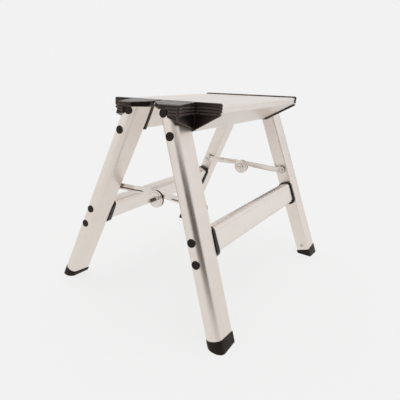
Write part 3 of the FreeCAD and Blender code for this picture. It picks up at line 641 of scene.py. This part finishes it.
# Stay links: pressed steel channels, zinc plated, with a round eye at each end and a bead on the outer face.
# They run a little over the line between their pivots and dip to the centre rivet behind the disc,
# and the outer link is joggled inwards, so that it clears the leg when the stool is folded.
LINK_HALF = 0.007
LINK_EYE = 0.0112
LINK_THICK = 0.002
LINK_EDGE = 0.0003
LINK_ARC = 4
LINK_INSET = 0.001
LINK_STANDOFF = 0.006
LINK_PLAY = 0.0003
LINK_CRANK = 0.0105
CRANK_PEAK = 0.85
FLANGE_TALL = 0.002
FLANGE_THICK = 0.0016
FLANGE_RUN = (0.018, 0.082)
FLANGE_FADE = 0.006
BEAD_DEPTH = 0.0015
BEAD_MIDDLE = -0.0022
BEAD_HALF = 0.0014
BEAD_SLOPE = 0.3
BEAD_RUN = (0.008, 0.080)
BEAD_FADE = 0.004
LEAST_DEPTH = 0.00003
JOGGLE_RUN = (0.055, 0.106)
JOGGLE_IN = 0.014
JOGGLE_OUT = 0.009
STAY_Z = 0.2438
STAY_Y = LEG_TOP_Y + LEAN * (TOP - STAY_Z)
MIDDLE_Z = 0.2358
OUTER_FACE = FACE + SPLAY * (TOP - STAY_Z) - LINK_STANDOFF
LINK_FACES = {"rear": OUTER_FACE, "front": OUTER_FACE - LINK_THICK - LINK_PLAY}
LINK_JOGGLE = {"rear": 0.0024, "front": 0.0}
# Painted shade in the bead's groove: the stretch of the link, the two points round its section between which
# it lies, and how dark it is.
SHADE_RUN = (0.012, 0.080)
SHADE_POINTS = [2 * LINK_ARC - 1, 4 * LINK_ARC - 2]
SHADE_DARK = 0.86
ZINC = (0.80, 0.75, 0.70)


def link_section(half, flange, bead):
    """The channel's outline across the link and in from its outer face: a web with a bead and two flanges."""
    scale = half / LINK_HALF
    lip = half - FLANGE_THICK * scale
    low = (BEAD_MIDDLE - BEAD_HALF) * scale
    high = (BEAD_MIDDLE + BEAD_HALF) * scale
    slope = BEAD_SLOPE * BEAD_HALF * scale
    edge = LINK_EDGE * scale
    lip_edge = min(edge, flange / 3)
    bead_edge = min(edge, bead / 3)
    deep = -LINK_THICK - flange
    return rounded([
        (-half, 0, edge), (low, 0, bead_edge), (low + slope, -bead, bead_edge),
        (high - slope, -bead, bead_edge), (high, 0, bead_edge), (half, 0, edge),
        (half, deep, lip_edge), (lip, deep, lip_edge), (lip, -LINK_THICK, lip_edge),
        (-lip, -LINK_THICK, lip_edge), (-lip, deep, lip_edge), (-half, deep, lip_edge)], LINK_ARC)


def stretch(run, low, high, rise, fall):
    """1 between two places of a run, with a soft rise after the first and a soft fall before the second."""
    return soft_step(run - low, rise) * soft_step(high - run, fall)


link_length = math.hypot(STAY_Y, STAY_Z - MIDDLE_Z)
eye_turn = np.linspace(0.02, math.pi / 2, 14)
link_run = np.concatenate([-LINK_EYE * np.cos(eye_turn),
                           np.linspace(LINK_INSET, link_length - LINK_INSET, 70),
                           link_length + LINK_EYE * np.cos(eye_turn[::-1])])
past_end = np.maximum(-link_run, link_run - link_length)
near_end = np.minimum(np.abs(link_run), np.abs(link_run - link_length))
eye_half = np.sqrt(np.clip(LINK_EYE ** 2 - near_end ** 2, 0, None))
link_half = np.where(past_end > 0, eye_half, np.maximum(LINK_HALF, eye_half))
link_flange = np.maximum(FLANGE_TALL * stretch(link_run, *FLANGE_RUN, FLANGE_FADE, FLANGE_FADE), LEAST_DEPTH)
link_bead = np.maximum(BEAD_DEPTH * stretch(link_run, *BEAD_RUN, BEAD_FADE, BEAD_FADE), LEAST_DEPTH)
link_bend = stretch(link_run, *JOGGLE_RUN, JOGGLE_IN, JOGGLE_OUT)[:, None, None]
run_share = np.clip(link_run / link_length, 0, 1)
link_rise = LINK_CRANK * run_share / CRANK_PEAK * soft_step(1 - run_share, 1 - CRANK_PEAK)
link_ahead = np.array([0, -STAY_Y, MIDDLE_Z - STAY_Z]) / link_length
link_up = np.cross(link_ahead, (1, 0, 0))
link_path = np.array([0, STAY_Y, STAY_Z]) + link_run[:, None] * link_ahead + link_rise[:, None] * link_up
link_across = np.cross(np.gradient(link_path, axis=0), (1, 0, 0))
link_across /= np.linalg.norm(link_across, axis=1, keepdims=True)
link_outlines = np.array([link_section(*sizes) for sizes in zip(link_half, link_flange, link_bead)])
zinc = finish_with("zinc_plate", die_lines, "OBJECT", ZINC, roughness=0.17, metallic=1.0,
                   height=0.00004, Lines=1300.0, Strength=0.16)

# Painted shade: a mask of 1 over one stretch of a run, within half its width across and half its length
# along.
painted_shade, source, sink = start_group("painted_shade", ("Across", "Half Width", "Along", "Half Length"), ("Mask",))
shade_across, shade_along = add(painted_shade, "ShaderNodeSeparateXYZ", {0: source.outputs["Coordinate"]}).outputs[:2]
in_width = add(painted_shade, "ShaderNodeMath", {0: shade_across, 1: source.outputs["Across"],
                                            2: source.outputs["Half Width"]}, operation="COMPARE")
in_length = add(painted_shade, "ShaderNodeMath", {0: shade_along, 1: source.outputs["Along"],
                                             2: source.outputs["Half Length"]}, operation="COMPARE")
mask = add(painted_shade, "ShaderNodeMath", {0: in_width.outputs[0], 1: in_length.outputs[0]},
           operation="MULTIPLY")
painted_shade.links.new(mask.outputs[0], sink.inputs["Mask"])


def paint_shade(material, across, along):
    """Paint shade into a finish between two places across its run and two along it: colour x (1 - the shade's
    darkness x mask).
    """
    tree = material.node_tree
    colour = tree.nodes["Principled BSDF"].inputs["Base Color"]
    shade_node = add(tree, "ShaderNodeGroup", node_tree=painted_shade)
    tree.links.new(add(tree, "ShaderNodeUVMap", uv_map="run").outputs[0], shade_node.inputs["Coordinate"])
    for middle, half, (low, high) in (("Across", "Half Width", across), ("Along", "Half Length", along)):
        shade_node.inputs[middle].default_value = (low + high) / 2
        shade_node.inputs[half].default_value = (high - low) / 2
    clear = add(tree, "ShaderNodeMath", {0: shade_node.outputs["Mask"]}, operation="MULTIPLY_ADD")
    clear.inputs[1].default_value = -SHADE_DARK
    clear.inputs[2].default_value = 1.0
    dark = add(tree, "ShaderNodeVectorMath", {0: colour.links[0].from_socket, 1: clear.outputs[0]},
               operation="MULTIPLY")
    tree.links.new(dark.outputs[0], colour)


link_girth = np.cumsum(np.linalg.norm(np.roll(link_outlines, -1, 1) - link_outlines, axis=2).mean(0))
# Painted shade along the groove of the bead on every link.
paint_shade(zinc, link_girth[SHADE_POINTS], np.array(SHADE_RUN) + LINK_EYE)
for end, sx in ENDS.items():
    for side, sy in SIDES.items():
        link_depth = LINK_FACES[side] - LINK_JOGGLE[side] * link_bend + link_outlines[..., 1:]
        link_rings = (link_path[:, None] + link_outlines[..., :1] * link_across[:, None]
                      + link_depth * (1, 0, 0))
        link = skin(f"{end}_{side}_stay_link", link_rings * (sx, sy, 1), 40)
        dress(link, zinc, "stay_steel", f"{end}_{side}_link")

# Pivot rivets: plated steel rivets through the eyes of the links and the legs.
# Each head is rolled over round a small hole, with painted shade inside it.
RIVET_HEAD = 0.0085
RIVET_TALL = 0.0026
RIVET_HOLE = 0.0023
RIVET_EDGE = 0.0008
RIVET_ROLL = 0.0012
# How far down inside the hole's lip the painted shade begins.
RIVET_SHADE_INSET = 0.0006
RIVET_SUNK = 0.0006
RIVET_LEAD = 0.0002
HOLE_SIDE = 0.0003
HOLE_FLOOR = 0.0004
rivet_profile = np.concatenate([
    [(RIVET_HEAD - RIVET_EDGE, -RIVET_SUNK), (RIVET_HEAD - RIVET_LEAD, -RIVET_LEAD)],
    arc(RIVET_HEAD - RIVET_EDGE, RIVET_EDGE, RIVET_EDGE, -20, 75),
    arc(RIVET_HOLE + RIVET_ROLL, RIVET_TALL - RIVET_ROLL, RIVET_ROLL, 80, 180),
    [(RIVET_HOLE, -HOLE_SIDE), (CORE, -HOLE_FLOOR)],
])
rivet_run = np.cumsum(np.linalg.norm(np.diff(rivet_profile, axis=0), axis=1))
rolled_metal = finish_with("rolled_rivet", die_lines, "TURNED", FASTENER, roughness=0.22, metallic=1.0,
                           height=0.00003, Lines=2600.0, Strength=0.18)
# Painted shade inside the hole of each rolled head, the centre rivets' too, from a little below the lip to
# the floor.
paint_shade(rolled_metal, (-1, 1), (rivet_run[-3] + RIVET_SHADE_INSET, 1))
for end, sx in ENDS.items():
    for side, sy in SIDES.items():
        rivet_seat = (LINK_FACES[side] - LINK_THICK - LINK_PLAY, STAY_Y, STAY_Z)
        rivet_rings = turned(rivet_profile, rivet_seat, (-1, 0, 0))
        rivet = skin(f"{end}_{side}_pivot_rivet", rivet_rings * (sx, sy, 1), 50)
        dress(rivet, rolled_metal, "fastener_steel", f"{side}_stay_rivets")

# Centre discs: turned steel discs that lock the two links in line, one on each face, held by the centre
# rivet. A low step runs round the rim. The outer disc also carries two posts for the spring.
DISC_RADIUS = 0.0195
DISC_TALL = 0.003
DISC_STEP = 0.0014
DISC_FACE = 0.0150
DISC_CHAMFER = 0.0003
DISC_EDGE = 0.0006
DISC_INNER = 0.009
DISC_SEATS = {"outer": (LINK_FACES["rear"], 1), "inner": (LINK_FACES["front"] - LINK_THICK, -1)}
CENTRE_SHARE = 0.82
POST_REACH = 0.0135
POST_RADIUS = 0.0013
POST_TALL = 0.0078
POST_SUNK = 0.0005
POST_EDGE = 0.0004
SPRING_SLANT = math.radians(31)
disc_profile = np.concatenate([
    [(CORE, 0), (DISC_RADIUS - DISC_CHAMFER, 0), (DISC_RADIUS, DISC_CHAMFER)],
    arc(DISC_RADIUS - DISC_EDGE, DISC_TALL - DISC_STEP - DISC_EDGE, DISC_EDGE, 0, 90, 5),
    arc(DISC_FACE + DISC_STEP, DISC_TALL - DISC_STEP / 2, DISC_STEP / 2, 270, 180, 5),
    arc(DISC_FACE, DISC_TALL - DISC_STEP / 2, DISC_STEP / 2, 0, 90, 5),
    [(DISC_INNER, DISC_TALL), (CORE, DISC_TALL)],
])
post_profile = np.concatenate([
    [(POST_RADIUS, -POST_SUNK)],
    arc(POST_RADIUS - POST_EDGE, POST_TALL - POST_EDGE, POST_EDGE, 0, 90, 4),
    [(CORE, POST_TALL)],
])
centre_profile = rivet_profile * (CENTRE_SHARE, 1)
spring_along = np.array([0, math.cos(SPRING_SLANT), -math.sin(SPRING_SLANT)])
spring_side = np.array([0, math.sin(SPRING_SLANT), math.cos(SPRING_SLANT)])
disc_metal = finish_with("turned_disc", die_lines, "TURNED", ZINC, roughness=0.16, metallic=1.0,
                         height=0.00004, Lines=1500.0, Strength=0.2)
for end, sx in ENDS.items():
    for layer, (seat, turn) in DISC_SEATS.items():
        middle = np.array([seat, 0, MIDDLE_Z])
        face = middle + (turn * DISC_TALL, 0, 0)
        disc_rings = turned(disc_profile, middle, (turn, 0, 0))
        disc = skin(f"{end}_{layer}_lock_disc", disc_rings * (sx, 1, 1), 40)
        dress(disc, disc_metal, "stay_steel", f"{end}_{layer}_disc")
        centre_rings = turned(centre_profile, face, (turn, 0, 0))
        rivet = skin(f"{end}_{layer}_middle_rivet", centre_rings * (sx, 1, 1), 50)
        dress(rivet, rolled_metal, "fastener_steel", f"{end}_{layer}_centre_rivet")
        if layer == "outer":
            for tag, reach in (("lower", POST_REACH), ("upper", -POST_REACH)):
                post_rings = turned(post_profile, face + reach * spring_along, (turn, 0, 0), 20)
                post = skin(f"{end}_{tag}_spring_post", post_rings * (sx, 1, 1))
                dress(post, turned_metal, "stay_steel", f"{end}_outer_disc")

# Springs: wound wire across each outer disc, with a hook at either end round a post.
# They hold the stay open. The coils are dark drawn steel and the hooks are brighter.
WIRE = 0.0009
COIL_RADIUS = 0.0033
COIL_TURNS = 5
COIL_HALF = 0.0086
SPRING_LIFT = 0.0062
SPRING_X = OUTER_FACE + DISC_TALL + SPRING_LIFT
HOOK_RADIUS = POST_RADIUS + WIRE
SPRING_STEEL = (0.17, 0.15, 0.13)


def wire(path, pole, steps=12):
    """Rings of round wire: circles square to the path, each started from the side square to the pole."""
    run = np.gradient(path, axis=0)
    run /= np.linalg.norm(run, axis=1, keepdims=True)
    aside = np.cross(run, pole)
    aside /= np.linalg.norm(aside, axis=1, keepdims=True)
    angle = np.linspace(0, 2 * math.pi, steps, endpoint=False)[:, None]
    spoke = np.cos(angle) * aside[:, None] + np.sin(angle) * np.cross(aside, run)[:, None]
    return path[:, None] + WIRE * spoke


spring_middle = np.array([SPRING_X, 0, MIDDLE_Z])
outwards = np.array([1.0, 0, 0])
wound = np.linspace(0, 2 * math.pi * COIL_TURNS, COIL_TURNS * 32 + 1)[:, None]
coil_path = (spring_middle + COIL_HALF * (wound / (math.pi * COIL_TURNS) - 1) * spring_along
             + COIL_RADIUS * (np.cos(wound) * spring_side + np.sin(wound) * outwards))
lead = np.linspace(0, 1, 12)[:, None]
lead_reach = COIL_HALF + lead * (POST_REACH - HOOK_RADIUS - COIL_HALF)
lead_aside = COIL_RADIUS * (1 - soft_step(lead, 1.0))
loop = np.radians(np.linspace(180, -140, 40))[:, None]
hook_reach = np.concatenate([lead_reach, POST_REACH + HOOK_RADIUS * np.cos(loop)])
hook_aside = np.concatenate([lead_aside, HOOK_RADIUS * np.sin(loop)])
drawn_wire = finish_with("drawn_wire", die_lines, "UV", SPRING_STEEL, roughness=0.28, metallic=1.0,
                         height=0.00002, Lines=2500.0, Strength=0.2)
for end, sx in ENDS.items():
    coil = skin(f"{end}_spring_coil", wire(coil_path, spring_along) * (sx, 1, 1), 60)
    dress(coil, drawn_wire, "stay_steel", f"{end}_spring")
    for tag, turn in (("lower", 1), ("upper", -1)):
        hook_path = spring_middle + turn * hook_reach * spring_along + hook_aside * spring_side
        hook = skin(f"{end}_{tag}_spring_hook", wire(hook_path, outwards) * (sx, 1, 1), 60)
        dress(hook, turned_metal, "stay_steel", f"{end}_spring")

# Studio: a pale floor that fades into the backdrop, one broad soft lamp above, and dark cards
# that the camera doesn't see, which the round side of the front leg mirrors as a soft stripe.
BACKDROP = (0.888, 0.888, 0.888, 1)
FLOOR_MIRRORED = (0.84, 0.83, 0.82, 1)
CEILING_MIRRORED = (0.66, 0.65, 0.64, 1)
AMBIENT = (1, 0.98, 0.96, 1)
AMBIENT_LEVEL = 0.75
CARD_BROWN = (0.030, 0.013, 0.004, 1)
FLOOR_HALF = 6.0
FLOOR_GLOW = 0.88
floor_mesh = bpy.data.meshes.new("floor")
floor_spots = np.array([(-1, -1, 0), (1, -1, 0), (1, 1, 0), (-1, 1, 0)], float) * FLOOR_HALF
floor_mesh.from_pydata(floor_spots.tolist(), [], [(0, 1, 2, 3)])
floor = bpy.data.objects.new("floor", floor_mesh)
bpy.context.scene.collection.objects.link(floor)
floor_paint = bpy.data.materials.new("pale_floor")
floor_paint.use_nodes = True
tree = floor_paint.node_tree
tree.nodes.clear()
matt = add(tree, "ShaderNodeBsdfDiffuse", Color=BACKDROP)
glow = add(tree, "ShaderNodeEmission", Color=BACKDROP)
place = add(tree, "ShaderNodeTexCoord")
spread = add(tree, "ShaderNodeVectorMath", {0: place.outputs["Object"]}, operation="LENGTH")
fade = add(tree, "ShaderNodeMapRange", {"Value": spread.outputs["Value"]}, From_Min=0.30, From_Max=0.75,
           To_Min=FLOOR_GLOW, interpolation_type="SMOOTHSTEP")
path = add(tree, "ShaderNodeLightPath")
seen = add(tree, "ShaderNodeMath", {0: path.outputs["Is Camera Ray"], 1: path.outputs["Is Transmission Ray"]},
           operation="MAXIMUM")
share = add(tree, "ShaderNodeMath", {0: seen.outputs[0], 1: fade.outputs[0]}, operation="MULTIPLY")
mirrored = add(tree, "ShaderNodeEmission", Color=FLOOR_MIRRORED)
lit = add(tree, "ShaderNodeMixShader", {0: share.outputs[0], 1: matt.outputs[0], 2: glow.outputs[0]})
mix = add(tree, "ShaderNodeMixShader", {0: path.outputs["Is Glossy Ray"], 1: lit.outputs[0],
                                        2: mirrored.outputs[0]})
add(tree, "ShaderNodeOutputMaterial", {"Surface": mix.outputs[0]})
floor_mesh.materials.append(floor_paint)

# Backdrop: the camera and the shiny metal see one pale grey, which the metal sees darker overhead.
# All other light from the world is a warm white.
world = bpy.data.worlds.new("studio")
bpy.context.scene.world = world
world.use_nodes = True
tree = world.node_tree
tree.nodes.clear()
path = add(tree, "ShaderNodeLightPath")
seen = add(tree, "ShaderNodeMath", {0: path.outputs["Is Camera Ray"], 1: path.outputs["Is Glossy Ray"]},
           operation="MAXIMUM")
shown = add(tree, "ShaderNodeMath", {0: seen.outputs[0], 1: path.outputs["Is Transmission Ray"]},
            operation="MAXIMUM")
upward = add(tree, "ShaderNodeTexCoord")
parts = add(tree, "ShaderNodeSeparateXYZ", {0: upward.outputs["Generated"]})
height = add(tree, "ShaderNodeMapRange", {"Value": parts.outputs[2]}, From_Min=0.35, From_Max=0.80,
             interpolation_type="SMOOTHSTEP")
overhead = add(tree, "ShaderNodeMath", {0: height.outputs[0], 1: path.outputs["Is Glossy Ray"]},
               operation="MULTIPLY")
backdrop = add(tree, "ShaderNodeBackground", Color=BACKDROP, Strength=1.0)
ceiling = add(tree, "ShaderNodeBackground", Color=CEILING_MIRRORED, Strength=1.0)
room = add(tree, "ShaderNodeMixShader", {0: overhead.outputs[0], 1: backdrop.outputs[0],
                                         2: ceiling.outputs[0]})
ambient = add(tree, "ShaderNodeBackground", Color=AMBIENT, Strength=AMBIENT_LEVEL)
mix = add(tree, "ShaderNodeMixShader", {0: shown.outputs[0], 1: ambient.outputs[0], 2: room.outputs[0]})
add(tree, "ShaderNodeOutputWorld", {"Surface": mix.outputs[0]})


def lamp(name, place, target, size, power):
    """A square soft lamp at a place, turned to face the target."""
    light = bpy.data.lights.new(name, "AREA")
    light.size = size
    light.energy = power
    holder = bpy.data.objects.new(name, light)
    bpy.context.scene.collection.objects.link(holder)
    aim = np.array(target, float) - np.array(place, float)
    turn = math.atan2(aim[1], aim[0]) - math.pi / 2
    tilt = math.atan2(math.hypot(aim[0], aim[1]), -aim[2])
    holder.location = place
    holder.rotation_euler = (tilt, 0, turn)
    holder.visible_glossy = False


lamp("overhead_softbox", (0.3, 0.3, 2.2), target=(0, 0, 0.2), size=1.8, power=18)
card_paint, tree, shader = new_material("dark_card")
shader.inputs["Base Color"].default_value = CARD_BROWN
shader.inputs["Roughness"].default_value = 1.0
shader.inputs["Specular IOR Level"].default_value = 0.0


def dark_card(name, distance, turn, width, low, high):
    """An upright card that faces the stool; turn is its direction, in degrees from the front."""
    angle = math.radians(turn)
    away = np.array([math.sin(angle), -math.cos(angle), 0])
    right = np.array([math.cos(angle), math.sin(angle), 0])
    spots = [away * distance + right * width * u / 2 + np.array([0, 0, v])
             for u, v in ((-1, low), (1, low), (1, high), (-1, high))]
    mesh = bpy.data.meshes.new(name)
    mesh.from_pydata(np.array(spots).tolist(), [], [(0, 1, 2, 3)])
    mesh.materials.append(card_paint)
    card = bpy.data.objects.new(name, mesh)
    bpy.context.scene.collection.objects.link(card)
    card.visible_camera = False
    card.visible_diffuse = False
    card.visible_shadow = False


dark_card("front_card", distance=1.16, turn=-38.0, width=1.9, low=0.16, high=0.80)
dark_card("side_card", distance=1.6, turn=97.0, width=1.3, low=0.0, high=0.50)

# Camera: the photograph's own, a little above the platform and off the near front corner.
# Its place, turn and lens come from a pinhole camera fitted to points of the photograph.
CAMERA_PLACE = (-0.818, -0.452, 0.4875)
CAMERA_YAW = math.radians(40.43)
CAMERA_PITCH = math.radians(-20.36)
CAMERA_ROLL = math.radians(0.93)
CAMERA_LENS = 32.77
CAMERA_SENSOR = 36.0
CAMERA_SHIFT = (0.167, 0.0265)
lens = bpy.data.cameras.new("camera")
lens.sensor_width = CAMERA_SENSOR
lens.lens = CAMERA_LENS
lens.shift_x, lens.shift_y = CAMERA_SHIFT
camera = bpy.data.objects.new("camera", lens)
bpy.context.scene.collection.objects.link(camera)
camera.location = CAMERA_PLACE
camera.rotation_euler = (Matrix.Rotation(CAMERA_YAW - math.pi / 2, 3, "Z")
                         @ Matrix.Rotation(CAMERA_PITCH + math.pi / 2, 3, "X")
                         @ Matrix.Rotation(CAMERA_ROLL, 3, "Z")).to_euler()
bpy.context.scene.camera = camera
bpy.context.scene.view_settings.view_transform = "Standard"
